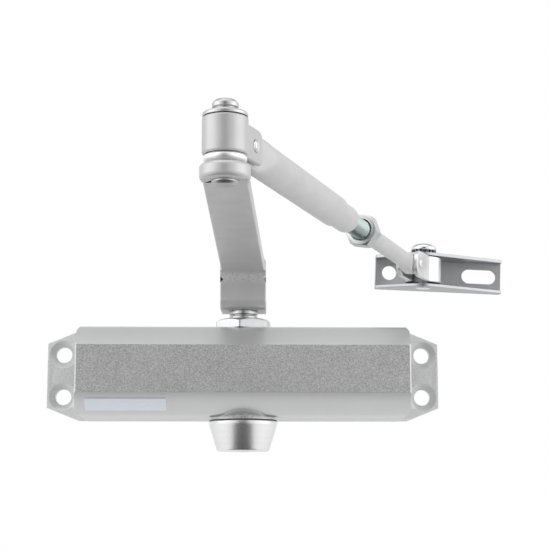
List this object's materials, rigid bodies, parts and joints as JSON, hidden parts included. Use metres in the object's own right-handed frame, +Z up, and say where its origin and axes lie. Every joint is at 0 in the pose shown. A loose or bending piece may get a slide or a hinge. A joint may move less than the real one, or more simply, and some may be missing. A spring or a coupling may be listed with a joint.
{
  "type": "door closer",
  "caption": "Surface-mounted rack-and-pinion door closer with a bevelled body, cranked main arm, telescoping threaded forearm and channel foot bracket.",
  "frame": {"origin": "centre of the four body screw holes, on the back face of the body", "axes": "+X along the body, +Y out of its back towards the door, +Z up along the pinion"},
  "size_m": [0.2069, 0.2183, 0.1023],
  "materials": {
    "paint": "metallic silver paint, satin",
    "label": "pale satin foil, blank",
    "plug": "turned, dark zinc",
    "rubber": "matt black",
    "brass": "turned",
    "bronze": "sintered",
    "steel": "machined",
    "spring": "oiled spring steel",
    "zinc": "bright zinc plated",
    "turned_aluminium": "turned, bright",
    "painted_steel": "silver paint, satin"
  },
  "bodies": {
    "housing": {"body": "paint", "label_plate": "label", "left_end_plug": "plug", "right_end_plug": "plug", "plug_seals": "rubber", "valve_seals": "rubber", "closing_spring": "spring", "upper_bearing": "bronze", "lower_bearing": "bronze", "pinion_seals": "rubber", "gland_nut": "zinc", "spindle_cap": "turned_aluminium"},
    "closing_speed_screw": {"closing_speed_valve": "brass"},
    "latching_speed_screw": {"latching_valve": "brass"},
    "piston_unit": {"piston": "steel", "piston_seals": "rubber", "check_ball": "steel", "ball_retainer": "brass"},
    "arm": {"pinion": "steel", "main_arm": "painted_steel", "arm_washer": "zinc", "arm_screw": "zinc", "elbow_rivet": "zinc", "elbow_washer": "zinc", "elbow_cone_washer": "zinc"},
    "elbow_knuckle": {"knuckle": "painted_steel", "elbow_bush": "bronze"},
    "tube": {"forearm_tube": "painted_steel", "fork_pin": "zinc"},
    "rod": {"threaded_rod": "zinc"},
    "lock_nut": {"jam_nut": "zinc"},
    "yoke": {"rod_yoke": "zinc", "yoke_pin": "zinc", "foot_bush": "steel"},
    "foot": {"foot_bracket": "zinc", "foot_rivet": "zinc", "toothed_washer": "spring"}
  },
  "joints": [
    {"name": "arm_swing", "type": "hinge", "parent": "housing", "child": "arm", "pos_m": [0, -0.021, 0], "axis": [0, 0, 1], "range_deg": [0, 120], "stiffness_Nm_per_rad": 5, "springref_deg": -68.75},
    {"name": "piston_slide", "type": "slide", "parent": "housing", "child": "piston_unit", "axis": [1, 0, 0], "range_m": [-0.01381, 0], "deforming": ["closing_spring"]},
    {"name": "elbow_turn", "type": "hinge", "parent": "arm", "child": "elbow_knuckle", "pos_m": [-0.00595, -0.21021, 0.0477], "axis": [0, 0, 1], "range_deg": [-150, 0]},
    {"name": "fork_tilt", "type": "hinge", "parent": "elbow_knuckle", "child": "tube", "pos_m": [-0.0007, -0.19831, 0.0561], "axis": [0.915, -0.4035, 0], "range_deg": [-1, 15]},
    {"name": "rod_extend", "type": "slide", "parent": "tube", "child": "rod", "axis": [0.4031, 0.9139, -0.048], "range_m": [-0.005, 0.018]},
    {"name": "jam_nut_travel", "type": "slide", "parent": "rod", "child": "lock_nut", "axis": [0.4031, 0.9139, -0.048], "range_m": [-0.01, 0.0045]},
    {"name": "yoke_tilt", "type": "hinge", "parent": "rod", "child": "yoke", "pos_m": [0.07322, -0.0307, 0.0473], "axis": [0.9131, -0.4051, -0.0453], "range_deg": [-15, 15]},
    {"name": "foot_swing", "type": "hinge", "parent": "yoke", "child": "foot", "pos_m": [0.08134, -0.01242, 0.0473], "axis": [0.0414, -0.0183, 0.999], "range_deg": [-70, 30]},
    {"name": "closing_speed_turn", "type": "hinge", "parent": "housing", "child": "closing_speed_screw", "pos_m": [0.0711, -0.041, 0.005], "axis": [1, 0, 0], "range_deg": [-180, 180]},
    {"name": "latching_speed_turn", "type": "hinge", "parent": "housing", "child": "latching_speed_screw", "pos_m": [0.0711, -0.041, -0.005], "axis": [1, 0, 0], "range_deg": [-180, 180]}
  ],
  "couplings": [
    {"joint": "piston_slide", "follows": "arm_swing", "m_per_rad": -0.0065}
  ]
}
